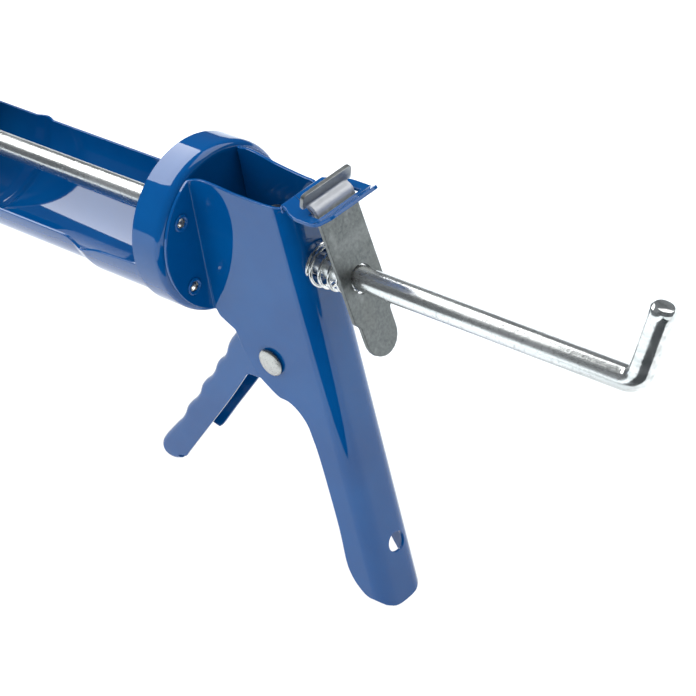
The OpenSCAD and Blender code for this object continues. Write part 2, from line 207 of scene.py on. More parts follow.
def ring(profile, around=64, axis="x", centre=(0, 0, 0)):
    """As turned, but the profile is a closed loop, so the piece is a ring with a hole through it."""
    profile = np.asarray(profile, float)
    points, _ = turned(profile, around, axis, centre)
    return points, grid_faces(len(profile), around, wrap_rows=True, wrap_columns=True)


# %% [markdown]
# Flat blanks are stamped from sheet before they are bent. Here a blank is an outline with holes, filled with a lattice
# of points and joined into triangles that keep to the outline. A function then carries each point of the flat blank to
# its place on the folded piece, so a hole that was stamped in the blank stays a true hole in the bend.

# %% Helpers: stamped blanks
def spread(points, step, closed=True):
    """Puts extra points along a line of points, so that no two neighbours are further apart than step."""
    points = np.asarray(points, float)
    ends = np.roll(points, -1, axis=0) if closed else points[1:]
    out = []
    for a, b in zip(points, ends):
        n = max(1, int(math.ceil(np.linalg.norm(b - a) / step - 1e-6)))
        out.append(a + (b - a) * (np.arange(n) / n)[:, None])
    if not closed:
        out.append(points[-1:])
    return np.concatenate(out)


def inside(points, loop):
    """True where a point is inside a closed loop: a line from it to the right crosses the loop an odd number of
    times."""
    x, y = points[:, 0][:, None], points[:, 1][:, None]
    x0, y0 = loop[:, 0][None], loop[:, 1][None]
    x1, y1 = np.roll(loop, -1, axis=0).T[:, None, :]
    up = (y0 > y) != (y1 > y)
    cross = x < (x1 - x0) * (y - y0) / np.where(y1 == y0, 1e-12, y1 - y0) + x0
    return (up & cross).sum(axis=1) % 2 == 1


def clear_of(points, loop, gap):
    """True where a point is further than gap from every stretch of a closed loop."""
    a, b = loop[None], np.roll(loop, -1, axis=0)[None]
    p, d = points[:, None], b - a
    t = np.clip(((p - a) * d).sum(-1) / np.maximum((d * d).sum(-1), 1e-12), 0, 1)
    return (np.linalg.norm(p - a - d * t[..., None], axis=-1) > gap).all(axis=1)


def blank(outline, holes=(), lattice=(), gap=0.35):
    """Triangles that fill the outline and leave the holes, through the lattice's points where they are inside."""
    loops = [np.asarray(outline, float)] + [np.asarray(h, float) for h in holes]
    lattice = np.asarray(lattice, float).reshape(-1, 2)
    if len(lattice):
        keep = inside(lattice, loops[0]) & clear_of(lattice, loops[0], gap)
        for hole in loops[1:]:
            keep &= ~inside(lattice, hole) & clear_of(lattice, hole, gap)
        lattice = lattice[keep]
    points, edges = [], []
    for loop in loops:
        start = sum(len(p) for p in points)
        n = len(loop)
        points.append(loop)
        edges += [(start + i, start + (i + 1) % n) for i in range(n)]
    points.append(lattice)
    flat = [Vector(p) for p in np.concatenate(points)]
    where, _, triangles, _, _, _ = delaunay_2d_cdt(flat, edges, [], 0, 1e-7)
    where = np.array([tuple(p) for p in where])
    triangles = np.array(triangles)
    middle = where[triangles].mean(axis=1)
    keep = inside(middle, loops[0])
    for hole in loops[1:]:
        keep &= ~inside(middle, hole)
    return where, triangles[keep]


def circle(x, y, r, n=48):
    """n points round a circle of radius r."""
    a = np.linspace(0, 2 * np.pi, n, endpoint=False)
    return np.stack([x + r * np.cos(a), y + r * np.sin(a)], axis=-1)


def lattice_of(first, second):
    """Every pair of a first and a second coordinate."""
    return np.stack(np.meshgrid(first, second, indexing="ij"), axis=-1).reshape(-1, 2)


# %% [markdown]
# Paint and plating are never one flat colour. Two effects are used by several finishes, so each is a node group made
# once: clouds, the slow change of tone over a surface with a fine grain in it, and rubs, short fine scratches that run
# mostly one way. Both read the place on the object, so they stay with the piece when it moves.

# %% Shared effects as node groups
def new_group(name, inputs, outputs):
    """A shader node group with named float inputs, a Vector input, and named float outputs."""
    group = bpy.data.node_groups.new(name, "ShaderNodeTree")
    group.interface.new_socket("Vector", in_out="INPUT", socket_type="NodeSocketVector")
    for word, value in inputs:
        group.interface.new_socket(word, in_out="INPUT", socket_type="NodeSocketFloat").default_value = value
    for word in outputs:
        group.interface.new_socket(word, in_out="OUTPUT", socket_type="NodeSocketFloat")
    return group, group.nodes.new("NodeGroupInput"), group.nodes.new("NodeGroupOutput")


def arithmetic(tree, operation, *values):
    """The output of a Math node. Each value is a number or another node's output."""
    node = tree.nodes.new("ShaderNodeMath")
    node.operation = operation
    for socket, value in zip(node.inputs, values):
        if isinstance(value, float):
            socket.default_value = value
        else:
            tree.links.new(value, socket)
    return node.outputs[0]


def make_clouds():
    """Clouds is broad noise; Grain is noise at Fine times that scale, both from 0 to 1."""
    group, given, result = new_group("clouds", [("Scale", 40.0), ("Fine", 12.0)], ["Clouds", "Grain"])
    broad = group.nodes.new("ShaderNodeTexNoise")
    broad.inputs["Detail"].default_value = 3.0
    fine = group.nodes.new("ShaderNodeTexNoise")
    fine.inputs["Detail"].default_value = 2.0
    link = group.links.new
    link(given.outputs["Vector"], broad.inputs["Vector"])
    link(given.outputs["Vector"], fine.inputs["Vector"])
    link(given.outputs["Scale"], broad.inputs["Scale"])
    link(arithmetic(group, "MULTIPLY", given.outputs["Scale"], given.outputs["Fine"]), fine.inputs["Scale"])
    link(broad.outputs["Fac"], result.inputs["Clouds"])
    link(fine.outputs["Fac"], result.inputs["Grain"])
    return group


def make_rubs():
    """Two noises, each drawn out along one axis, are cut off at a level, so only thin streaks of them are left."""
    group, given, result = new_group("rubs", [("Scale", 60.0), ("Level", 0.62)], ["Rubs"])
    link = group.links.new
    kept = []
    for stretch in ((0.12, 1.0, 1.0), (0.9, 0.1, 0.5)):
        drawn = group.nodes.new("ShaderNodeVectorMath")
        drawn.operation = "MULTIPLY"
        drawn.inputs[1].default_value = stretch
        noise = group.nodes.new("ShaderNodeTexNoise")
        noise.inputs["Detail"].default_value = 4.0
        cut = group.nodes.new("ShaderNodeMapRange")
        cut.inputs["From Max"].default_value = 0.8
        link(given.outputs["Vector"], drawn.inputs[0])
        link(drawn.outputs[0], noise.inputs["Vector"])
        link(given.outputs["Scale"], noise.inputs["Scale"])
        link(noise.outputs["Fac"], cut.inputs["Value"])
        link(given.outputs["Level"], cut.inputs["From Min"])
        kept.append(cut.outputs[0])
    link(arithmetic(group, "MAXIMUM", *kept), result.inputs["Rubs"])
    return group


clouds, rubs = make_clouds(), make_rubs()
print("groups:", clouds.name, rubs.name)

# %% [markdown]
# A finish is one Principled shader. What is the same all over is set on its own sockets; colour, roughness and a small
# bump change from place to place, through the groups. The helper below makes the parts that every finish shares.

# %% Helper: the start of a finish
def mix_colour(tree, low, high, mask):
    """A colour between low and high, by a mask from 0 to 1. Low and high are colours or another node's output."""
    mix = tree.nodes.new("ShaderNodeMix")
    mix.data_type = "RGBA"
    for socket, value in ((mix.inputs[6], low), (mix.inputs[7], high)):
        if isinstance(value, tuple):
            socket.default_value = (*value, 1.0)
        else:
            tree.links.new(value, socket)
    tree.links.new(mask, mix.inputs[0])
    return mix.outputs[2]


def spread_to(tree, value, low, high, first=0.3, last=0.7):
    """Maps first..last of a value to low..high."""
    change = tree.nodes.new("ShaderNodeMapRange")
    change.inputs["From Min"].default_value, change.inputs["From Max"].default_value = first, last
    change.inputs["To Min"].default_value, change.inputs["To Max"].default_value = low, high
    tree.links.new(value, change.inputs["Value"])
    return change.outputs[0]


def start_finish(name, scale, fine, rub_scale, level):
    """A material, its node tree and Principled shader, the object's own coordinates, and the outputs of both groups."""
    finish = bpy.data.materials.new(name)
    finish.use_nodes = True
    tree = finish.node_tree
    shader = next(n for n in tree.nodes if n.type == "BSDF_PRINCIPLED")
    where = tree.nodes.new("ShaderNodeTexCoord").outputs["Object"]
    cloud = tree.nodes.new("ShaderNodeGroup")
    cloud.node_tree = clouds
    cloud.inputs["Scale"].default_value, cloud.inputs["Fine"].default_value = scale, fine
    rub = tree.nodes.new("ShaderNodeGroup")
    rub.node_tree = rubs
    rub.inputs["Scale"].default_value, rub.inputs["Level"].default_value = rub_scale, level
    tree.links.new(where, cloud.inputs["Vector"])
    tree.links.new(where, rub.inputs["Vector"])
    return finish, tree, shader, where, cloud.outputs["Clouds"], cloud.outputs["Grain"], rub.outputs["Rubs"]


def add_bump(tree, shader, height, distance, strength):
    """A Bump node of a given depth in mm."""
    bump = tree.nodes.new("ShaderNodeBump")
    bump.inputs["Distance"].default_value = distance * MM
    bump.inputs["Strength"].default_value = strength
    tree.links.new(height, bump.inputs["Height"])
    tree.links.new(bump.outputs["Normal"], shader.inputs["Normal"])


# %% [markdown]
# The gun is dipped or sprayed in a deep blue gloss paint. Under the gloss the blue is a little uneven, with a faint
# ripple and a few fine rubs. A clear coat gives the sharp reflection; the coloured layer below it is left nearly matt,
# or the gloss would be counted twice.

# %% Finish: blue paint
def make_paint():
    """Deep blue under a clear coat: the tone follows the clouds, and rubs are paler."""
    finish, tree, shader, _, cloud, grain, rub = start_finish("blue paint", 34.0, 14.0, 150.0, 0.66)
    tone = mix_colour(tree, (0.0002, 0.054, 0.200), (0.0004, 0.070, 0.242), spread_to(tree, cloud, 0.0, 1.0))
    worn = mix_colour(tree, tone, (0.03, 0.10, 0.27), spread_to(tree, rub, 0.0, 0.10, 0.0, 1.0))
    tree.links.new(worn, shader.inputs["Base Color"])
    tree.links.new(spread_to(tree, grain, 0.32, 0.46), shader.inputs["Roughness"])
    shader.inputs["Specular IOR Level"].default_value = 0.0
    shader.inputs["Coat Weight"].default_value = 1.0
    shader.inputs["Coat Roughness"].default_value = 0.035
    shader.inputs["Coat IOR"].default_value = 1.5
    add_bump(tree, shader, arithmetic(tree, "MULTIPLY_ADD", grain, 0.12, cloud), 0.35, 0.10)
    return finish


blue_paint = make_paint()

# %% [markdown]
# The rod is drawn steel with a bright zinc plating. Drawing leaves streaks along it, and handling leaves small dull
# patches. The pattern is drawn out along the rod with a Mapping node, so it looks like streaks and not like clouds.
# Hands polish the hook, so its roughness drops past the bend. The springs have the same plating on round wire.

# %% Finish: bright zinc on the rod
def make_bright(name, low, high, rough, streak, metal):
    """Colours low and high along the streaks, duller spots, and roughness between the two values of rough."""
    finish, tree, shader, where, cloud, grain, rub = start_finish(name, 130.0, 6.0, 210.0, 0.55)
    drawn = tree.nodes.new("ShaderNodeMapping")
    drawn.inputs["Scale"].default_value = streak
    lines = tree.nodes.new("ShaderNodeTexNoise")
    lines.inputs["Scale"].default_value = 420.0
    lines.inputs["Detail"].default_value = 3.0
    tree.links.new(where, drawn.inputs["Vector"])
    tree.links.new(drawn.outputs[0], lines.inputs["Vector"])
    streaks = lines.outputs["Fac"]
    tone = mix_colour(tree, low, high, spread_to(tree, streaks, 0.0, 1.0, 0.35, 0.65))
    spots = mix_colour(tree, tone, (0.34, 0.35, 0.34), spread_to(tree, grain, 0.0, 0.6, 0.55, 0.74))
    tree.links.new(spots, shader.inputs["Base Color"])
    rubbed = arithmetic(tree, "ADD", spread_to(tree, streaks, *rough), spread_to(tree, rub, 0.0, 0.12, 0.0, 1.0))
    length = tree.nodes.new("ShaderNodeSeparateXYZ")
    tree.links.new(where, length.inputs[0])
    handled = arithmetic(tree, "ADD", spread_to(tree, length.outputs["X"], -0.13, 0.0, -0.182, -0.175), rubbed)
    tree.links.new(handled, shader.inputs["Roughness"])
    shader.inputs["Metallic"].default_value = metal
    add_bump(tree, shader, arithmetic(tree, "MULTIPLY_ADD", grain, 2.0, streaks), 0.06, 0.32)
    return finish


rod_zinc = make_bright(
    "bright zinc", (0.56, 0.58, 0.57), (0.84, 0.86, 0.85), (0.19, 0.32), streak=(0.05, 1.0, 1.0), metal=0.92)
spring_zinc = make_bright(
    "spring wire zinc", (0.58, 0.59, 0.58), (0.84, 0.85, 0.83), (0.14, 0.26), streak=(1.0, 1.0, 1.0), metal=1.0)

# %% [markdown]
# The release plate and the washers are cheaper: stamped sheet with a dull, mottled plating, like small crystals. A
# Voronoi pattern gives each crystal its own grey, and clouds shift the whole towards a warmer grey here and there.
# Where the plate is bent forwards over the tab, its colour is lifted towards a pale white as a painted highlight of the
# light from above, and its roughness rises there too, so both change with height.

# %% Finish: dull zinc and satin rivets
def make_dull(name, low, high, warmer, rubbed, rough, crystals, bump):
    """Colours low and high by crystal, warmer by cloud and rubbed by streaks; bump is the crystals' depth in mm."""
    finish, tree, shader, where, cloud, grain, rub = start_finish(name, 95.0, 9.0, 260.0, 0.56)
    cells = tree.nodes.new("ShaderNodeTexVoronoi")
    cells.inputs["Scale"].default_value = crystals
    tree.links.new(where, cells.inputs["Vector"])
    grey = tree.nodes.new("ShaderNodeSeparateColor")
    tree.links.new(cells.outputs["Color"], grey.inputs[0])
    mottle = arithmetic(tree, "MULTIPLY_ADD", grey.outputs[0], 0.35, grain)
    tone = mix_colour(tree, low, high, spread_to(tree, mottle, 0.0, 1.0, 0.35, 1.0))
    warm = mix_colour(tree, tone, warmer, spread_to(tree, cloud, 0.0, 0.35, 0.45, 0.7))
    bright = mix_colour(tree, warm, rubbed, spread_to(tree, rub, 0.0, 0.45, 0.0, 1.0))
    height = tree.nodes.new("ShaderNodeSeparateXYZ")
    tree.links.new(where, height.inputs[0])
    # A band of height on the plate's strip over the tab: the colour there is a painted highlight, and the same band
    # also makes it rougher.
    rise = spread_to(tree, height.outputs["Z"], 0.0, 0.7, 0.0250, 0.0262)
    lip = spread_to(tree, height.outputs["Z"], 0.0, 0.52, 0.0287, 0.0293)
    highlight_and_frost = arithmetic(tree, "SUBTRACT", rise, lip)
    painted_highlight = mix_colour(tree, bright, (0.80, 0.82, 0.86), highlight_and_frost)
    tree.links.new(painted_highlight, shader.inputs["Base Color"])
    plain = spread_to(tree, mottle, rough[0], rough[1], 0.35, 1.0)
    tree.links.new(arithmetic(tree, "MULTIPLY_ADD", highlight_and_frost, 0.30, plain), shader.inputs["Roughness"])
    shader.inputs["Metallic"].default_value = 1.0
    add_bump(tree, shader, mottle, bump, 0.3)
    return finish


plate_zinc = make_dull(
    "dull zinc", (0.115, 0.125, 0.123), (0.205, 0.215, 0.210), warmer=(0.18, 0.18, 0.165), rubbed=(0.38, 0.39, 0.38),
    rough=(0.34, 0.46), crystals=1400.0, bump=0.05)
rivet_zinc = make_dull(
    "satin rivet", (0.38, 0.385, 0.37), (0.52, 0.52, 0.50), warmer=(0.47, 0.455, 0.41), rubbed=(0.62, 0.62, 0.60),
    rough=(0.24, 0.36), crystals=1300.0, bump=0.03)
print("finishes:", [m.name for m in bpy.data.materials])

# %% [markdown]
# The trough is one sheet rolled to a half barrel. Its rear end is a little wider, so that it fits inside the collar,
# and two ribs are rolled into it to stiffen it. As a surface it is simple: a distance along the gun and an angle round
# it, with the radius changing along the way. The angle stops where the top edge is cut, and that edge dips at the step.

# %% The trough
def s_curve(t):
    """Goes smoothly from 0 to 1: t squared times (3 - 2 t), with t kept between 0 and 1."""
    t = np.clip(t, 0, 1)
    return t * t * (3 - 2 * t)


STEP_AT, RIBS = 32.0, (102.0, 168.0)


def trough_radius(x):
    """27.25 mm up to the step, 25.9 mm after it, and 1.2 mm more on the top of each rib, as half a sine wave."""
    r = 27.25 - 1.35 * s_curve((x - 28.6) / 6.8)
    for rib in RIBS:
        r = r + 1.2 * np.sin(np.pi * np.clip((x - rib + 4.5) / 9.0, 0, 1)) ** 1.3
    return r


EDGE_X = np.array([-9, 2, 22, 27, 29.5, 31, 32.2, 34.4, 36.4, 39, 222])
EDGE_Z = np.array([-3.4, -3.6, -5.0, -6.7, -8.0, -8.5, -8.5, -7.0, -5.2, -4.8, -4.8])


def make_trough():
    """Point (i, j): x is the i-th distance; the angle runs from one cut edge to the other, and is 0 at the bottom."""
    fine = [np.arange(a - 6, a + 6.01, 0.5) for a in (STEP_AT, *RIBS)]
    x = np.unique(np.concatenate([np.arange(-9, 222.1, 3.0), [222.0], *fine]).round(3))
    r = trough_radius(x)
    reach = np.arccos(-np.interp(x, EDGE_X, EDGE_Z) / r)
    across = 97
    angle = np.linspace(-1, 1, across)[None] * reach[:, None]
    points = np.stack([np.repeat(x[:, None], across, 1), r[:, None] * np.sin(angle), -r[:, None] * np.cos(angle)], -1)
    piece = put_in_mesh("trough", [(points, grid_faces(len(x), across))])
    face_out(piece, (100, 0, -26), (0, 0, -1))
    add_thickness(piece, 1.0)
    add_bevel(piece, 0.3, 3)
    return piece


trough = place(make_trough(), "frame", blue_paint, "blue_paint", "cradle")

# %% [markdown]
# The nose plate closes the trough's far end. It has a slot, open at the top, that the cartridge's neck drops into, and
# a rim that three small rivets hold inside the trough. The plate is a blank, and its rim is an arc carried backwards.

# %% The nose plate and its rivets
def arc(r, first, last, step=3.0):
    """Points on a circle of radius r between two angles in degrees."""
    n = max(2, int(abs(last - first) * math.pi / 180 * r / step * 1.7))
    a = np.radians(np.linspace(first, last, n))
    return np.stack([r * np.cos(a), r * np.sin(a)], axis=-1)


NOSE_X, NOSE_R, NECK_R = 221.6, 24.85, 8.5


def make_nose():
    side_angle = math.degrees(math.asin(8 / NOSE_R))
    disc = np.concatenate([
        arc(NOSE_R, 180 - side_angle, 360 + side_angle), [[NECK_R, 8.0], [NECK_R, 4.0]],
        arc(NECK_R, 0, -180, 1.2), [[-NECK_R, 4.0], [-NECK_R, 8.0]]])
    flat, faces = blank(spread(disc, 1.6), lattice=lattice_of(np.arange(-24, 25, 3.0), np.arange(-24, 8, 3.0)))
    plate = np.stack([np.full(len(flat), NOSE_X), 0.999 * flat[:, 0], 0.999 * flat[:, 1]], -1)
    piece = put_in_mesh("nose_plate", [(plate, faces)])
    face_out(piece, (NOSE_X, 0, -15), (1, 0, 0))
    add_thickness(piece, PLATE)
    add_bevel(piece, 0.3)
    edge = math.degrees(math.asin(4.8 / NOSE_R))
    rim = arc(NOSE_R, 180 + edge, 360 - edge, 1.2)
    rows = np.stack([np.column_stack([np.full(len(rim), x), rim]) for x in (220.5, 218.0, 213.2)])
    band = put_in_mesh("nose_rim", [(rows, grid_faces(3, len(rim)))])
    face_out(band, (217, 0, -24.8), (0, 0, -1))
    add_thickness(band, SHEET)
    add_bevel(band, 0.25)
    return piece, band


nose_plate, nose_rim = make_nose()
place(nose_plate, "frame", blue_paint, "blue_paint", "nose_plate")
place(nose_rim, "frame", blue_paint, "blue_paint")

rivet_side = rounded([(22.35, 0), (22.45, 1.6), (22.9, 2.6), (23.3, 2.55), (23.3, 1.6), (24.8, 1.6), (24.8, 0)],
                     [0.8, 0.5, 0.1, 0.05, 0.1])
small_rivets = []
for a in np.radians([28, 90, 152]):
    points, faces = turned(rivet_side, 32, "x")
    out = np.array([0, math.cos(a), -math.sin(a)])
    across = np.array([0, math.sin(a), math.cos(a)])
    points = points[:, :1] * out + points[:, 1:2] * across + points[:, 2:3] * np.array([1, 0, 0]) + [216.5, 0, 0]
    small_rivets.append((points, faces))
nose_rivets = place(put_in_mesh("nose_rivets", small_rivets), "frame", rivet_zinc, "rivet", "nose_rivets")

# %% [markdown]
# The rear collar is a shallow cup pressed from sheet. Its wall goes round the trough's end, its edge is rounded by the
# press, and its flat back has holes for the rod's guide and for the four eyelets that hold the handle. The wall and the
# rounded edge are a profile turned about the rod; the back is a blank with holes, joined to the wall point by point.

# %% The rear collar and its eyelets
EYELET_Y, EYELET_Z, EYELET_R = 18.1, 11.9, 2.25
EYELETS = [(y, z) for y in (-EYELET_Y, EYELET_Y) for z in (-EYELET_Z, EYELET_Z)]


def make_collar():
    """A wall of radius 28.5 mm, a quarter arc of 2.8 mm, and a back with its holes at x = -13 mm."""
    bend = np.linspace(0, math.pi / 2, 9)
    wall = [(0.0, 28.5), (-3.5, 28.5), (-7.0, 28.5)]
    wall += [(-10.2 - 2.8 * math.sin(a), 25.7 + 2.8 * math.cos(a)) for a in bend]
    wall += [(-13.0, 24.6)]
    points, faces = turned(wall, 128)
    holes = [circle(0, 0, 6.05, 40)] + [circle(y, z, EYELET_R, 28) for y, z in EYELETS]
    every_3 = np.arange(-24, 25, 3.0)
    flat, inner = blank(circle(0, 0, 24.6, 128), holes, lattice_of(every_3, every_3))
    back = np.stack([np.full(len(flat), -13.0), flat[:, 0], flat[:, 1]], -1)
    piece = put_in_mesh("rear_collar", [(points, faces), (back, inner)])
    face_out(piece, (-5, 0, 28.5), (0, 0, 1))
    add_thickness(piece, SHEET)
    add_bevel(piece, 0.25)
    return piece


rear_collar = place(make_collar(), "frame", blue_paint, "blue_paint", "rear_collar")

eyelet_loop = [(-14.25, 2.2), (-14.25, 2.9), (-14.5, 3.0), (-14.72, 2.8), (-14.8, 2.4), (-14.65, 1.95), (-14.2, 1.6),
               (-13.4, 1.5), (-12.5, 1.5), (-11.75, 1.6), (-11.3, 1.95), (-11.15, 2.4), (-11.23, 2.8), (-11.45, 3.0),
               (-11.7, 2.9), (-11.7, 2.2)]
eyelets = put_in_mesh("collar_eyelets", [ring(eyelet_loop, 32, centre=(0, y, z)) for y, z in EYELETS])
place(eyelets, "frame", blue_paint, "blue_paint", "collar_eyelets")
eyelets.data.materials.append(rivet_zinc)
bare_r = 1.75  # the paint stops this far from an eyelet's middle, where its rolled edge is bare
for face in eyelets.data.polygons:
    near = min(math.hypot(face.center.y / MM - y, face.center.z / MM - z) for y, z in EYELETS)
    face.material_index = 1 if near < bare_r else 0

guide_loop = [(-15.0, 4.3), (-15.0, 7.5), (-14.7, 7.8), (-13.4, 7.8), (-13.1, 7.5), (-13.1, 6.0), (-9.3, 6.0),
              (-9.0, 5.7), (-9.0, 4.3), (-9.25, 4.06), (-14.75, 4.06)]
rod_guide = put_in_mesh("rod_guide", [ring(guide_loop, 48)])
add_bevel(rod_guide, 0.12)
place(rod_guide, "frame", plate_zinc, "zinc_plate", "rod_guide")

# %% [markdown]
# The handle frame is the heart of the gun: one blank of sheet, folded about a long back into two cheeks, whose front
# edges are folded outwards again into flanges on the collar. A grid cannot follow such an outline, but the way of the
# workshop can: stamp the flat blank with its holes, then fold it. Along the blank the first parameter is the distance
# from the middle of the back, and the second is the height; the fold is then two arcs, and the flange one more.

# %% The handle frame: where a point of the blank goes
LEAN, SPLAY = math.radians(5.3), math.radians(3.1)
BACK_X, HALF, CORNER = 55.6, 9.7, 6.0
FLAT = HALF - CORNER
ROUND = CORNER * math.pi / 2
FLANGE_X, FLANGE_R = -14.9, 0.7
PIVOT = (-35.6, 0.0, -38.2)


def cheek_offset(x, z):
    """The Y of a cheek's outer face at a place seen from the side."""
    a = (x + BACK_X) * math.cos(LEAN) - z * math.sin(LEAN)
    return HALF + (a - CORNER) * math.tan(SPLAY)


def to_blank(x, z):
    """From a place on the flat cheek, seen from the side, to the blank's two parameters. The flange counts as flat."""
    x, z = np.asarray(x, float), np.asarray(z, float)
    a = (x + BACK_X) * math.cos(LEAN) - z * math.sin(LEAN)
    return FLAT + ROUND + (a - CORNER) / math.cos(SPLAY), (x + BACK_X) * math.sin(LEAN) + z * math.cos(LEAN)


def fold(s, c):
    """Bends the blank: flat for |s| below FLAT, then an arc of radius CORNER, then straight and splayed, and past the
    flange's line an arc of radius FLANGE_R outwards and straight on along Y."""
    m = np.abs(s)
    turn_by = np.clip((m - FLAT) / CORNER, 0, math.pi / 2)
    rest = np.maximum(0, m - FLAT - ROUND)
    a = CORNER * (1 - np.cos(turn_by)) + rest * math.cos(SPLAY)
    b = np.minimum(m, FLAT) + CORNER * np.sin(turn_by) + rest * math.sin(SPLAY)
    x = -BACK_X + a * math.cos(LEAN) + c * math.sin(LEAN)
    z = -a * math.sin(LEAN) + c * math.cos(LEAN)
    over = np.where(rest > 0, np.maximum(0, x - FLANGE_X), 0)
    bend = np.minimum(over / FLANGE_R, math.pi / 2)
    edge = cheek_offset(FLANGE_X, z)
    x = np.where(over > 0, FLANGE_X + FLANGE_R * np.sin(bend), x)
    b = np.where(over > 0, edge + FLANGE_R * (1 - np.cos(bend)) + np.maximum(0, over - FLANGE_R * math.pi / 2), b)
    return np.stack([x, np.sign(s) * b, z], -1)


def smooth_line(points, step=1.2):
    """A smooth curve through a few points: between two of them, a cubic whose slopes come from the neighbours."""
    p = np.asarray(points, float)
    p = np.concatenate([[2 * p[0] - p[1]], p, [2 * p[-1] - p[-2]]])
    out = []
    for a, b, c, d in zip(p, p[1:], p[2:], p[3:]):
        t = np.linspace(0, 1, max(2, int(np.linalg.norm(c - b) / step) + 1), endpoint=False)[:, None]
        square, cube = 2 * a - 5 * b + 4 * c - d, 3 * b - a - 3 * c + d
        out.append(0.5 * (2 * b + (c - a) * t + square * t ** 2 + cube * t ** 3))
    return np.concatenate(out + [p[-2:-1]])


# %% The handle frame: the blank's outline
def flange_over(y, z):
    """How far past the flange's line a point of the blank lies, for a given Y on the bend or the flange."""
    out = y - cheek_offset(FLANGE_X, z)
    on_bend = FLANGE_R * np.arccos(np.clip(1 - out / FLANGE_R, 0, 1))
    return np.where(out < FLANGE_R, on_bend, out - FLANGE_R + FLANGE_R * math.pi / 2)


def half_outline(side):
    """The blank's edge on one side: from the middle of the back's top, round the flange, to the middle of its lower
    end. side is 1 for the left cheek and -1 for the right one."""
    s = np.concatenate([np.linspace(0, FLAT, 4, endpoint=False), np.linspace(FLAT, FLAT + ROUND, 9)])
    turn_by = np.clip((s - FLAT) / CORNER, 0, math.pi / 2)
    top = np.stack([s, (23.4 + CORNER * (1 - np.cos(turn_by)) * math.sin(LEAN)) / math.cos(LEAN)], -1)
    cheek_top = smooth_line([(-45.2, 23.3), (-40, 23.5), (-32, 24.0), (-26, 24.8), (-21, 25.3), (-18.0, 25.2),
                             (-15.8, 24.6)])
    z = np.concatenate([24.1 - np.array([0, 0.3, 0.8, 1.4]), np.arange(22.0, -22.1, -1.1),
                        [-22.7, -23.3, -23.8, -24.2]])
    y = np.sqrt(26.9 ** 2 - z ** 2)
    flange = np.stack([FLANGE_X + flange_over(y, z), z], -1)
    ear = np.array([(-15.1, -25.3), (-15.4, -26.1)])
    shoulder = smooth_line([(-16.2, -26.9), (-18.6, -28.5), (-21.4, -30.2)])
    front = smooth_line([(-21.9, -31.6), (-23.3, -36.5), (-25.6, -42), (-28, -46), (-32.7, -50.2), (-35.2, -52.0)])
    if side > 0:
        toe = [(-51.9, -100), (-52.4, -113), (-53.4, -118), (-55.4, -122), (-58.4, -125.2), (-60.2, -126)]
        end_z = [-130, -129.9, -129.3, -127.9, -126.05]
    else:
        toe = [(-51.8, -100), (-52.2, -106), (-53.6, -110.5), (-56.2, -115.5), (-58.8, -120.5), (-60.2, -124.6)]
        end_z = [-130, -129.9, -129.4, -128.1, -126.2]
    waist = smooth_line([(-36.4, -52.5), (-39.6, -52.9), (-43.2, -55.4), (-46.1, -59.6), (-47.4, -64.5), (-48.7, -71),
                         (-50.3, -84)] + toe, 2.0)
    cheek = np.concatenate([cheek_top, flange, ear, shoulder, front, waist])
    cheek = np.stack(to_blank(cheek[:, 0], cheek[:, 1]), -1)
    s = np.concatenate([np.linspace(FLAT + ROUND, FLAT, 9), np.linspace(FLAT, 0, 5)[1:-1]])
    turn_by = np.clip((s - FLAT) / CORNER, 0, math.pi / 2)
    b = np.minimum(s, FLAT) + CORNER * np.sin(turn_by)
    low = np.interp(b, [0, 2.6, 5.4, 8, HALF], end_z)
    bottom = np.stack([s, (low + CORNER * (1 - np.cos(turn_by)) * math.sin(LEAN)) / math.cos(LEAN)], -1)
    return np.concatenate([top, cheek, bottom]) * [side, 1]


lowest = [[0, -130 / math.cos(LEAN)]]
frame_outline = spread(np.concatenate([half_outline(1), lowest, half_outline(-1)[:0:-1]]), 2.0)
print("the blank is", np.ptp(frame_outline, axis=0).round(1), "mm across and high")

# %% The handle frame: stamp and fold
def make_frame():
    """The blank, with a lattice that is close along the bends, carried through fold."""
    pivot = to_blank(PIVOT[0], PIVOT[2])
    holes = [circle(0, 0, 4.45, 36), circle(-1.8, -108.0, 3.6, 40)]
    for side in (1, -1):
        holes.append(circle(side * pivot[0], pivot[1], 3.05, 32))
        for z in (-EYELET_Z, EYELET_Z):
            hole = circle(EYELET_Y, z, EYELET_R, 28)
            s, c = to_blank(FLANGE_X + flange_over(hole[:, 0], hole[:, 1]), hole[:, 1])
            holes.append(np.stack([side * s, c], -1))
    columns = np.concatenate([np.arange(-FLAT, FLAT + 0.1, FLAT / 2),
                              *[side * np.linspace(FLAT + 0.7, FLAT + ROUND, 16) for side in (1, -1)],
                              *[side * np.arange(FLAT + ROUND + 2.4, 45, 2.6) for side in (1, -1)]])
    lattice = lattice_of(columns, np.arange(-128, 24, 2.6))
    x, _, z = fold(lattice[:, 0], lattice[:, 1]).T
    lattice = lattice[(x < FLANGE_X - 0.5) | (np.abs(lattice[:, 0]) < 20)]
    past = np.concatenate([np.linspace(0, FLANGE_R * math.pi / 2, 6), np.arange(3, 20, 2.6)])
    bends = lattice_of(FLANGE_X + past, np.arange(-26.5, 25, 1.5))
    s, c = to_blank(bends[:, 0], bends[:, 1])
    lattice = np.concatenate([lattice, np.stack([s, c], -1), np.stack([-s, c], -1)])
    flat, faces = blank(frame_outline, holes, lattice, 0.3)
    piece = put_in_mesh("handle_frame", [(fold(flat[:, 0], flat[:, 1]), faces)])
    face_out(piece, (-60, 0, -60), (-1, 0, 0))
    add_thickness(piece, SHEET)
    add_bevel(piece, 0.28)
    return piece


handle_frame = place(make_frame(), "frame", blue_paint, "blue_paint", "handle_frame")

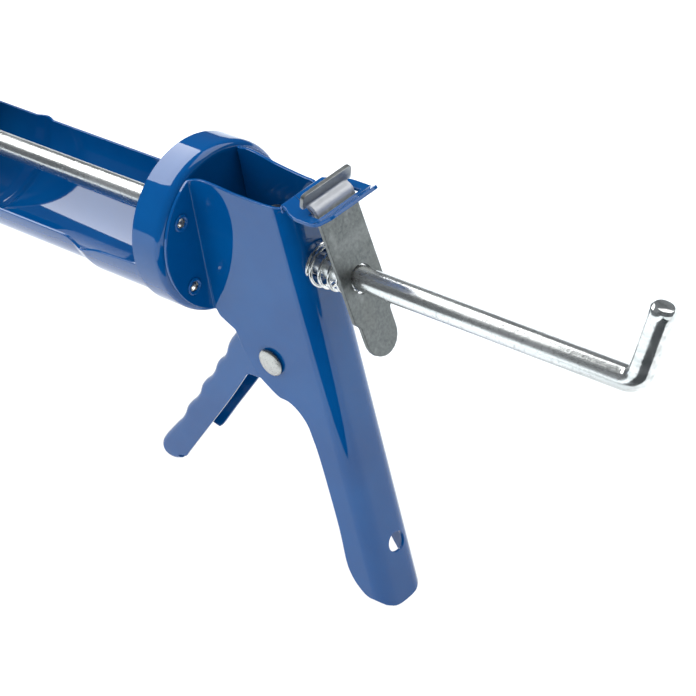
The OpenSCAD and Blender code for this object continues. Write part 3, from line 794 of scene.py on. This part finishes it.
# %% [markdown]
# At the top of the back the sheet is folded backwards into a tab, which ends in a raised lip. The release plate passes
# through a slot in it. The tab is a second small blank, carried along a path seen from the side.

# %% The tab
def lengths(path):
    """The distance along a line of points, at each of them."""
    return np.concatenate([[0], np.cumsum(np.linalg.norm(np.diff(path, axis=0), axis=1))])


def along_path(path, across, t):
    """Carries blank points to a path seen from the side: t is the distance along the path, across is Y."""
    length = lengths(path)
    return np.stack([np.interp(t, length, path[:, 0]), across, np.interp(t, length, path[:, 1])], -1)


def both_sides(half):
    """An outline from its half: the half itself, and back along its mirror image."""
    half = np.array(half)
    return np.concatenate([half, half[::-1] * [1, -1]])


FOLD_X = 24.6 * math.tan(LEAN) - BACK_X


def make_tab():
    """The path goes up the back, backwards over the release plate, and up into the lip."""
    path = rounded([(1.25, 22.6), (1.35, 25.7), (-15.2, 25.7), (-17.2, 26.0), (-21.95, 29.0)], [1.3, 1.6, 1.2], 8)
    path = path + [FOLD_X, 0]
    length = lengths(path)
    end = length[-1]
    back_by = lambda d: float(np.interp(d - FOLD_X, -path[:, 0], length))
    half = [(0, 9.4), (back_by(-0.4), 9.4), (back_by(1.9), 10.1), (back_by(4.1), 11.3), (back_by(6.3), 12.4),
            (back_by(8.4), 12.95), (back_by(10), 13.1), (back_by(15), 13.1), (back_by(17.3), 12.6),
            (back_by(19.3), 11.6), (back_by(20.8), 10.9), (end - 0.9, 10.75), (end - 0.25, 10.5), (end, 9.8)]
    front, rear = back_by(11.25), back_by(15.45)
    slot = [(front, -9.4), (rear, -9.4), (rear, 9.4), (front, 9.4)]
    lines = np.unique(np.concatenate([np.linspace(0, end, 60), np.arange(back_by(14.5), end, 0.3)]).round(3))
    lattice = lattice_of(lines, np.arange(-12.6, 12.7, 1.4))
    flat, faces = blank(spread(both_sides(half), 1.3), [spread(slot, 1.2)], lattice, 0.25)
    piece = put_in_mesh("tab", [(along_path(path, flat[:, 1], flat[:, 0]), faces)])
    face_out(piece, (FOLD_X - 6, 0, 25.7), (0, 0, 1))
    add_thickness(piece, SHEET)
    add_bevel(piece, 0.28, 3)
    return piece


tab = place(make_tab(), "frame", blue_paint, "blue_paint")

# %% [markdown]
# The trigger hangs on a rivet between the cheeks. A slightly domed head shows on the left and a smaller one on the
# right; a washer on each side keeps the trigger in the middle. All three are profiles turned about the rivet's line.

# %% The pivot rivet, its washers and the thrust pin
PIVOT_Y = float(cheek_offset(PIVOT[0], PIVOT[2]))
head = [(1.72, 0), (1.68, 1.6), (1.5, 3.2), (1.2, 4.3), (0.85, 4.85), (0.5, 4.85), (0.32, 4.6), (0.3, 3.0)]
foot = [(0.3, 3.0), (0.32, 4.4), (0.5, 4.65), (0.9, 4.65), (1.3, 4.0), (1.55, 2.4), (1.6, 0)]
rivet_line = [(PIVOT_Y + d, r) for d, r in head] + [(-PIVOT_Y - d, r) for d, r in foot]
pivot_rivet = put_in_mesh("pivot_rivet", [turned(rivet_line, 64, "y", PIVOT)])
place(pivot_rivet, "frame", rivet_zinc, "rivet", "pivot_rivet")

washer_loop = np.array([(7.7, 3.05), (7.7, 5.3), (7.8, 5.4), (9.1, 5.4), (9.2, 5.3), (9.2, 3.05)])
pivot_washers = put_in_mesh("pivot_washers", [ring(washer_loop * [side, 1], 48, "y", PIVOT) for side in (1, -1)])
add_bevel(pivot_washers, 0.1)
place(pivot_washers, "frame", plate_zinc, "zinc_plate", "pivot_washers")

pin_reach, pin_turn = 24, math.radians(14)
pin_at = (PIVOT[0] - pin_reach * math.sin(pin_turn), 0.0, PIVOT[2] + pin_reach * math.cos(pin_turn))
thrust_pin = put_in_mesh("thrust_pin", [turned(
    [(-7.9, 0), (-7.9, 1.7), (-7.6, 2.0), (7.6, 2.0), (7.9, 1.7), (7.9, 0)], 32, "y", pin_at)])
place(thrust_pin, "trigger_set", rod_zinc, "zinc_rod", "thrust_pin")

# %% [markdown]
# The trigger is a channel, open at the back. Its front wall follows the fingers in shallow scallops and goes round the
# tip, and it is bent into the two cheeks with a small radius. So the wall is a cross-section carried along the front
# line: a quarter arc, a flat and a quarter arc. Each cheek is a blank whose front edge is the wall's own edge.

# %% The trigger
GRIP = math.radians(-43)


def grip(u, w):
    """From (distance along the grip, distance in front of it) to a place seen from the side."""
    x, z = u * math.cos(GRIP) - w * math.sin(GRIP), u * math.sin(GRIP) + w * math.cos(GRIP)
    return np.array([PIVOT[0] + x, PIVOT[2] + z])


def grip_line(pairs, step):
    """A smooth curve through places given along and in front of the grip."""
    return smooth_line([grip(u, w) for u, w in pairs], step)


def make_trigger():
    """The front wall is a section carried along the front line. The two cheeks are blanks that start at its edges."""
    front = grip_line([
        (5.4, 15.9), (11, 15.4), (18, 14.7), (22, 13.7), (25, 12.5), (28, 11.9), (31, 12.0), (34, 11.7), (38, 10.4),
        (42, 9.8), (46, 9.9), (50, 9.5), (54, 8.1), (58, 7.5), (62, 7.5), (66, 7.2), (70, 6.0), (74, 5.3), (78, 5.2),
        (84, 4.9), (89, 4.6), (93, 3.9), (95.4, 2.5), (96.5, 0.2), (95.6, -2.4), (93.4, -4.4), (90.4, -5.6)], 0.9)
    slope = np.gradient(front, axis=0)
    slope /= np.linalg.norm(slope, axis=1)[:, None]
    outward = np.stack([-slope[:, 1], slope[:, 0]], -1)
    if outward[0] @ (grip(4, 17) - grip(4, 16)) < 0:
        outward = -outward
    r, half = 1.9, 7.4
    quarter = np.linspace(0, math.pi / 2, 8)
    depth = np.concatenate([r - r * np.sin(quarter), [0, 0, 0], (r - r * np.sin(quarter))[::-1]])
    y = np.concatenate([half - r + r * np.cos(quarter), [3, 0, -3], -(half - r + r * np.cos(quarter))[::-1]])
    flat = front[:, None] - outward[:, None] * depth[None, :, None]
    wall = np.stack([flat[..., 0], np.broadcast_to(y, flat.shape[:2]), flat[..., 1]], -1)
    skin = grid_faces(*flat.shape[:2])
    middle = wall.reshape(-1, 3)[skin].mean(axis=1)
    ahead = -(middle[:, 0] - PIVOT[0]) * math.sin(GRIP) + (middle[:, 2] - PIVOT[2]) * math.cos(GRIP)
    parts = [(wall.reshape(-1, 3), skin[(ahead > 1.0) | (middle[:, 1] > 1.6)])]
    inset = flat[:, 0]
    lobe = smooth_line(np.array([
        (-7.2, -2), (-8.4, 3), (-10.9, 21.5), (-9.9, 25.7), (-6.7, 28.4), (-2.6, 27.9), (-0.4, 24.6), (2.4, 13.8),
        (5.5, 9.6), (8.5, 8.6)]) + [PIVOT[0], PIVOT[2]], 1.2)
    heel = [(62, -3.0), (40, -0.4), (25, 1.8), (22.6, 2.1), (20.6, 1.6), (18, -0.6), (14, -3.6), (10, -6.4)]
    rear = grip_line([(86, -5.9), (82.6, -5.4)] + heel, 1.6)
    u = (inset[:, 0] - PIVOT[0]) * math.cos(GRIP) + (inset[:, 1] - PIVOT[2]) * math.sin(GRIP)
    short = inset[: int(np.argmax(u > 89.5))]
    cut = grip_line([(88.6, 1.4), (84.2, 0.4), (81, -1.6), (79.4, -4.0), (77, -4.9)] + heel, 1.4)
    for side, edge in ((1, np.concatenate([inset, rear, lobe])), (-1, np.concatenate([short, cut, lobe]))):
        holes = [circle(PIVOT[0], PIVOT[2], 3.06, 32), circle(pin_at[0], pin_at[2], 2.02, 28)]
        where, faces = blank(edge, holes, lattice_of(np.arange(-50, 40, 3.0), np.arange(-110, -8, 3.0)), 0.4)
        parts.append((np.stack([where[:, 0], np.full(len(where), side * half), where[:, 1]], -1), faces))
    piece = put_in_mesh("trigger", parts, 0.02)
    face_out(piece, (0, 7.4, -70), (0, 1, 0))
    add_thickness(piece, SHEET)
    add_bevel(piece, 0.28)
    return piece


trigger = place(make_trigger(), "trigger_set", blue_paint, "blue_paint", "trigger")

# %% [markdown]
# Inside the frame, the trigger's pin pushes the drive plate, which grips the rod and carries it forwards. A spring in
# front of the plate brings it back. A spring is a small circle carried along a helix whose first and last turns lie
# close, as the wire is wound on a mandrel and its ends are laid flat.

# %% The drive plate and its spring seat
def slab(name, outline, holes, x, thickness, step=2.4):
    """A flat plate cut from sheet, standing square to the rod, with its front face at x."""
    outline = np.asarray(outline, float)
    low, high = outline.min(axis=0), outline.max(axis=0)
    flat, faces = blank(outline, holes, lattice_of(np.arange(low[0], high[0], step), np.arange(low[1], high[1], step)))
    piece = put_in_mesh(name, [(np.stack([np.full(len(flat), x), flat[:, 0], flat[:, 1]], -1), faces)])
    face_out(piece, (x, *flat[0]), (1, 0, 0))
    add_thickness(piece, thickness)
    add_bevel(piece, 0.25)
    return piece


DRIVE_X, DRIVE_SHEET = pin_at[0] + 2.3, 3.0
dome = circle(0, 7.5, 7.2, 48)
dome = dome[dome[:, 1] >= 7.5]
left_foot = [(-7.2, -7.3), (-7.0, -7.5), (-5.9, -7.5), (-5.7, -7.7), (-5.7, -17.4), (-5.2, -17.9)]
right_foot = [(-y, z) for y, z in reversed(left_foot)]
drive_edge = spread(np.concatenate([dome, left_foot, right_foot]), 1.6)
drive_plate = slab("drive_plate", drive_edge, [circle(0, 0, 4.06, 40)], DRIVE_X + DRIVE_SHEET, DRIVE_SHEET)
place(drive_plate, "drive", plate_zinc, "zinc_plate", "drive_plate")

seat_loop = [(-16.2, 4.45), (-16.2, 7.8), (-16.0, 8.0), (-15.3, 8.0), (-15.1, 7.8), (-15.1, 4.45)]
spring_seat = put_in_mesh("spring_seat", [ring(seat_loop, 48)])
add_bevel(spring_seat, 0.1)
place(spring_seat, "frame", plate_zinc, "zinc_plate", "spring_seat")

# %% The two springs
def s_mix(t):
    """Almost straight from 0 to 1, easing in and out, so that the pitch does not jump where the free turns begin."""
    t = np.clip(t, 0, 1)
    return t + 0.12 * (t * t * (3 - 2 * t) - t)


def make_spring(name, x0, x1, r0, r1, turns, wire=1.1, around=14, per_turn=44):
    """The wire's middle runs from x0 to x1. Its pitch is one wire's width in the first and last turn and even between,
    and its distance from the rod goes evenly from r0 to r1."""
    q = np.linspace(0, turns, int(turns * per_turn) + 1)
    close = wire * 1.02
    free = abs(x1 - x0) - 2 * close
    middle_run = close + free * s_mix((q - 1) / (turns - 2))
    last_run = close + free + close * (q - turns + 1)
    run = np.where(q < 1, close * q, np.where(q > turns - 1, last_run, middle_run))
    x = x0 + np.sign(x1 - x0) * run
    r = r0 + (r1 - r0) * q / turns
    a = 2 * math.pi * q
    middle = np.stack([x, r * np.cos(a), r * np.sin(a)], -1)
    out = np.stack([0 * a, np.cos(a), np.sin(a)], -1)
    slope = np.gradient(middle, axis=0)
    slope /= np.linalg.norm(slope, axis=1)[:, None]
    side = np.cross(slope, out)
    b = np.linspace(0, 2 * math.pi, around, endpoint=False)
    taper = np.ones(len(q))
    taper[[0, -1]] = 0.8
    tube = middle[:, None] + wire / 2 * taper[:, None, None] * (
        np.cos(b)[None, :, None] * out[:, None] + np.sin(b)[None, :, None] * side[:, None])
    faces = grid_faces(len(q), around, wrap_columns=True).tolist()
    n = len(q) * around
    faces += [[j, (j + 1) % around, n] for j in range(around)]
    faces += [[n - around + j, n - around + (j + 1) % around, n + 1] for j in range(around)]
    points = np.concatenate([tube.reshape(-1, 3), middle[:1], middle[-1:]])
    return put_in_mesh(name, [(points, faces)], 0.001)


drive_spring = make_spring("drive_spring", DRIVE_X + 3.65, -16.8, 6.0, 6.0, 6)
place(drive_spring, "frame", spring_zinc, "spring_wire", "drive_spring")
release_spring = make_spring("release_spring", -56.5, FOLD_X - 17.2, 7.3, 5.6, 5.4)
place(release_spring, "frame", spring_zinc, "spring_wire", "release_spring")

# %% [markdown]
# The release plate stands tilted on the rod and jams it, so the rod cannot slide back. It goes up through the tab's
# slot, where it is bent forwards over the tab and up again into a small lip; its rounded lower end is pressed with the
# thumb. It is a blank carried along a path, as the tab was.

# %% The release plate
TILT = math.radians(12.85)
REL_X = FOLD_X - 19.9


def make_release():
    """The path goes up along the tilt, forwards over the tab, and up into the lip."""
    foot = -26.2
    rear = lambda z: REL_X + z * math.tan(TILT)
    path = rounded([(rear(foot), foot), (rear(27.35), 27.35), (FOLD_X - 10.95, 28.75), (FOLD_X - 12.15, 32.95)],
                   [1.3, 0.7], 8)
    length = lengths(path)
    up = lambda z: (z - foot) / math.cos(TILT)
    end = length[-1]
    lip = float(np.interp(28.9, path[:, 1], length))
    lower = [(-26.1, 1.3), (-25.4, 3.2), (-24.2, 4.8), (-22.4, 6.05), (-20.6, 6.6), (-19, 6.7), (-14, 6.75),
             (-13.1, 6.95), (-11.8, 8.2), (-11.1, 8.5), (20, 8.5)]
    upper = [(-0.75, 8.5), (-0.45, 8.7), (-0.3, 9.2), (-0.45, 9.8), (-0.35, 10.4), (0.1, 10.8), (0.8, 10.9)]
    half = [(0.0, 0.0)] + [(up(z), y) for z, y in lower] + [(lip + d, y) for d, y in upper]
    half += [(end - 1.4, 10.9), (end - 0.6, 10.6), (end - 0.15, 10.0), (end, 9.2)]
    outline = spread(both_sides(half)[:-1], 1.5)
    hole = circle(up(0), 0, 4.6, 44)
    hole[:, 0] = up(0) + (hole[:, 0] - up(0)) / math.cos(TILT)
    lines = np.unique(np.concatenate([np.arange(1.5, up(24), 2.2), np.arange(up(24), end, 0.28)]).round(3))
    flat, faces = blank(outline, [hole], lattice_of(lines, np.arange(-10.2, 10.3, 1.7)), 0.22)
    piece = put_in_mesh("release_plate", [(along_path(path, flat[:, 1], flat[:, 0]), faces)])
    face_out(piece, (rear(-10), 3, -10), (-1, 0, 0))
    add_thickness(piece, PLATE)
    add_bevel(piece, 0.3, 3)
    return piece


release_plate = place(make_release(), "release", plate_zinc, "zinc_plate", "release_plate")

# %% [markdown]
# The push rod is one bar, bent into a hook at its rear end. It is a circle carried along a path: straight, an arc of
# 6 mm, and straight again. The bender leaves a small crimp on the inside of the bend, and the end is chamfered. In
# front, a thinner thread goes through the plunger and takes its nut.

# %% The push rod
ROD_R = 4.0


def make_rod():
    """The middle line goes backwards, round the bend and up; a circle stands square to it at every point."""
    bend_r, turn_by, around = 6.0, math.radians(73.4), 48
    a = np.linspace(0, turn_by, 20)
    straight = np.array([139.2, 139.2, 138.9, 136.0, 130.0, 129.8, 129.8, 129.6, *np.linspace(126, -172, 60), -175.0])
    reach = np.array([1.5, 4, 7, 10, 13, 16, 19, 21.6, 21.75, 22.62, 22.7, 22.7])
    up = np.array([-math.cos(turn_by), math.sin(turn_by)])
    bend = np.stack([-176 - bend_r * np.sin(a), bend_r - bend_r * np.cos(a)], -1)
    line = np.concatenate([np.stack([straight, 0 * straight], -1), bend, bend[-1] + up * reach[:, None]])
    thread, tip = [0, 2.6, 2.95, 2.95, 2.95, 2.95, 3.7], [3.93, 3.15, 3.0, 0.0]
    radius = np.concatenate([thread, np.full(len(line) - len(thread) - len(tip), ROD_R), tip])
    heading = np.concatenate([np.zeros(len(straight)), a, np.full(len(reach), turn_by)])
    out = np.stack([np.sin(heading), np.zeros(len(heading)), np.cos(heading)], -1)
    angle = np.linspace(0, 2 * math.pi, around, endpoint=False)
    bent = np.exp(-((np.arange(len(heading)) - len(straight) - 9.5) / 4.5) ** 2)
    inner = np.exp(-((np.abs((angle + math.pi) % (2 * math.pi) - math.pi)) / 0.5) ** 2)
    r = radius[:, None] * (1 - 0.10 * bent[:, None] * inner[None])
    middle = np.stack([line[:, 0], np.zeros(len(line)), line[:, 1]], -1)
    spoke = np.cos(angle)[None, :, None] * out[:, None] + np.sin(angle)[None, :, None] * np.array([0, 1.0, 0])
    points = middle[:, None] + r[..., None] * spoke
    hook_roll = math.radians(13.9)
    y, z = points[..., 1].copy(), points[..., 2].copy()
    points[..., 1] = y * math.cos(hook_roll) - z * math.sin(hook_roll)
    points[..., 2] = y * math.sin(hook_roll) + z * math.cos(hook_roll)
    return put_in_mesh("push_rod", [(points, grid_faces(len(middle), around, wrap_columns=True))], 0.005)


push_rod = place(make_rod(), "rod", rod_zinc, "zinc_rod", "push_rod")

# %% [markdown]
# The plunger pushes the cartridge's piston. It is a pressed disc with a turned-back rim, held against the rod's
# shoulder by a washer and a six-sided nut. The nut's radius changes with the angle as on a hexagon, and is cut off by a
# cone at both ends, which gives the curved corners of a real nut.

# %% The plunger, its washer and its nut
disc_loop = rounded([(131.4, 3.0), (131.4, 14.0), (130.0, 17.0), (130.0, 22.1), (128.8, 23.6), (125.0, 23.6),
                     (125.0, 22.4), (128.3, 22.4), (128.8, 21.6), (128.8, 16.6), (130.2, 13.6), (130.2, 3.0)],
                    [0.8, 0.8, 1.0, 0.9, 0.25, 0.25, 0.5, 0.4, 0.8, 0.8], 4)
plunger_disc = put_in_mesh("plunger_disc", [ring(disc_loop, 96)])
add_bevel(plunger_disc, 0.15)
place(plunger_disc, "plunger", plate_zinc, "zinc_plate", "plunger_disc")
washer_loop = [(131.5, 3.0), (131.5, 7.8), (131.7, 8.0), (132.5, 8.0), (132.7, 7.8), (132.7, 3.0)]
plunger_washer = put_in_mesh("plunger_washer", [ring(washer_loop, 64)])
add_bevel(plunger_washer, 0.08)
place(plunger_washer, "plunger", plate_zinc, "zinc_plate", "plunger_washer")


def make_nut():
    """Radius = flat / cos(angle within one of six sectors), but at most 5.15 mm at the ends, growing to the full
    5.8 mm by 0.6 mm further in. The bore is plain."""
    around = 96
    angle = np.linspace(0, 2 * math.pi, around, endpoint=False)
    hexagon = 5.8 * math.cos(math.pi / 6) / np.cos((angle + math.pi / 6) % (math.pi / 3) - math.pi / 6)
    outside = [(0.0, 5.15), (0.25, 5.5), (0.6, 5.85), (4.4, 5.85), (4.75, 5.5), (5.0, 5.15)]
    levels = [(0.0, np.full(around, 3.3))] + [(d, np.minimum(hexagon, most)) for d, most in outside]
    levels += [(d, np.full(around, bore)) for d, bore in ((5.0, 3.3), (4.7, 3.0), (0.3, 3.0))]
    r = np.array([r for _, r in levels])
    x = np.array([132.8 + d for d, _ in levels])
    points = np.stack([np.repeat(x[:, None], around, 1), r * np.sin(angle), r * np.cos(angle)], -1)
    faces = grid_faces(len(levels), around, wrap_rows=True, wrap_columns=True)
    return put_in_mesh("plunger_nut", [(points, faces)])


plunger_nut = make_nut()
add_bevel(plunger_nut, 0.08)
place(plunger_nut, "rod", plate_zinc, "zinc_plate", "plunger_nut")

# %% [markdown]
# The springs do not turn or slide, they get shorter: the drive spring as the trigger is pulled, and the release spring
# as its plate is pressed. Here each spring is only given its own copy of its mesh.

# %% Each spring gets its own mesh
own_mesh(drive_spring)
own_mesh(release_spring)

# %% [markdown]
# The gun stands over a pale floor, in soft light from above that is wide enough to leave almost no shadow. A strip of
# the floor along the gun's line is painted a darker grey, a painted shadow that the cheeks and the handle show in their
# gloss. Gloss is made by
# what it reflects: the white floor shows in the cheeks, two bright panels that only reflections see show on the collar
# and in the trough, and a dark cloth on the floor draws the dark lines along the bends and on the hook.

# %% Floor and light
def stage_surface(name, corners, colour, rough=0.9):
    """A flat four-cornered surface that is part of the stage, without gloss. Returns it with its tree and shader."""
    mesh = bpy.data.meshes.new(name)
    mesh.from_pydata(corners, [], [(0, 1, 2, 3)])
    surface = bpy.data.objects.new(name, mesh)
    bpy.context.scene.collection.objects.link(surface)
    coat = bpy.data.materials.new(name)
    coat.use_nodes = True
    shader = coat.node_tree.nodes["Principled BSDF"]
    shader.inputs["Base Color"].default_value = (*colour, 1)
    shader.inputs["Roughness"].default_value = rough
    shader.inputs["Specular IOR Level"].default_value = 0.0
    mesh.materials.append(coat)
    return surface, coat.node_tree, shader


floor_z, wide = float(cad_low[2]) - 0.020, 6
# The first colour is a painted shadow, put on the floor along the gun's line; the floor fades from it to the second,
# pale colour between 3 and 18 cm to the side.
painted_floor_shadow, aside = (0.80, 0.815, 0.83), (0.88, 0.93, 0.96)
corners = [(-wide, -wide, floor_z), (wide, -wide, floor_z), (wide, wide, floor_z), (-wide, wide, floor_z)]
floor, tree, shader = stage_surface("floor", corners, aside)
sideways = tree.nodes.new("ShaderNodeSeparateXYZ")
tree.links.new(tree.nodes.new("ShaderNodeTexCoord").outputs["Object"], sideways.inputs[0])
away = spread_to(tree, arithmetic(tree, "ABSOLUTE", sideways.outputs["Y"]), 0.0, 1.0, 0.03, 0.18)
tree.links.new(mix_colour(tree, painted_floor_shadow, aside, away), shader.inputs["Base Color"])


def aimed(name, lamp, direction):
    """Puts a lamp in the scene, shining along a direction."""
    thing = bpy.data.objects.new(name, lamp)
    thing.rotation_mode = "QUATERNION"
    thing.rotation_quaternion = Vector(direction).to_track_quat("-Z", "Y")
    bpy.context.scene.collection.objects.link(thing)
    return thing


def add_sun(name, strength, angle, aim):
    """A wide soft light that reflections do not see."""
    lamp = bpy.data.lights.new(name, "SUN")
    lamp.energy, lamp.angle = strength, math.radians(angle)
    aimed(name, lamp, aim).visible_glossy = False


def add_panel(name, centre, aim, size, power):
    """A bright panel, in metres and watts, that only reflections see."""
    lamp = bpy.data.lights.new(name, "AREA")
    lamp.shape, lamp.size, lamp.size_y, lamp.energy = "RECTANGLE", size[0], size[1], power
    panel = aimed(name, lamp, Vector(aim) - Vector(centre))
    panel.location = centre
    panel.visible_diffuse = False


add_sun("soft top light", 4.3, 110, (-0.15, 0.05, -1.0))
add_sun("soft side light", 0.6, 80, (-0.35, -0.8, -0.45))
add_sun("soft fill light", 0.5, 175, (0.35, -0.35, -1.0))
add_panel("front panel", (0.80, -0.12, 0.86), (0, 0, 0), (1.04, 0.44), 8.5)
add_panel("rear panel", (-0.42, -0.50, 0.62), (-0.06, 0, 0.02), (0.70, 0.80), 4.5)

world = bpy.data.worlds.new("studio")
bpy.context.scene.world = world
world.use_nodes = True
sky = world.node_tree.nodes["Background"]
sky.inputs["Color"].default_value = (0.80, 0.88, 1.0, 1)
sky.inputs["Strength"].default_value = 0.12

cloth_z = floor_z + 0.0004
corners = [(x, y, cloth_z) for x, y in ((-0.158, 0.120), (-0.42, 0.0), (-0.80, 0.75), (0.11, 0.36))]
cloth, _, _ = stage_surface("dark cloth", corners, (0.010, 0.012, 0.016))
cloth.visible_camera = False
cloth.visible_diffuse = False
cloth.visible_shadow = False
cloth.visible_transmission = False

bpy.context.scene.view_settings.view_transform = "Standard"
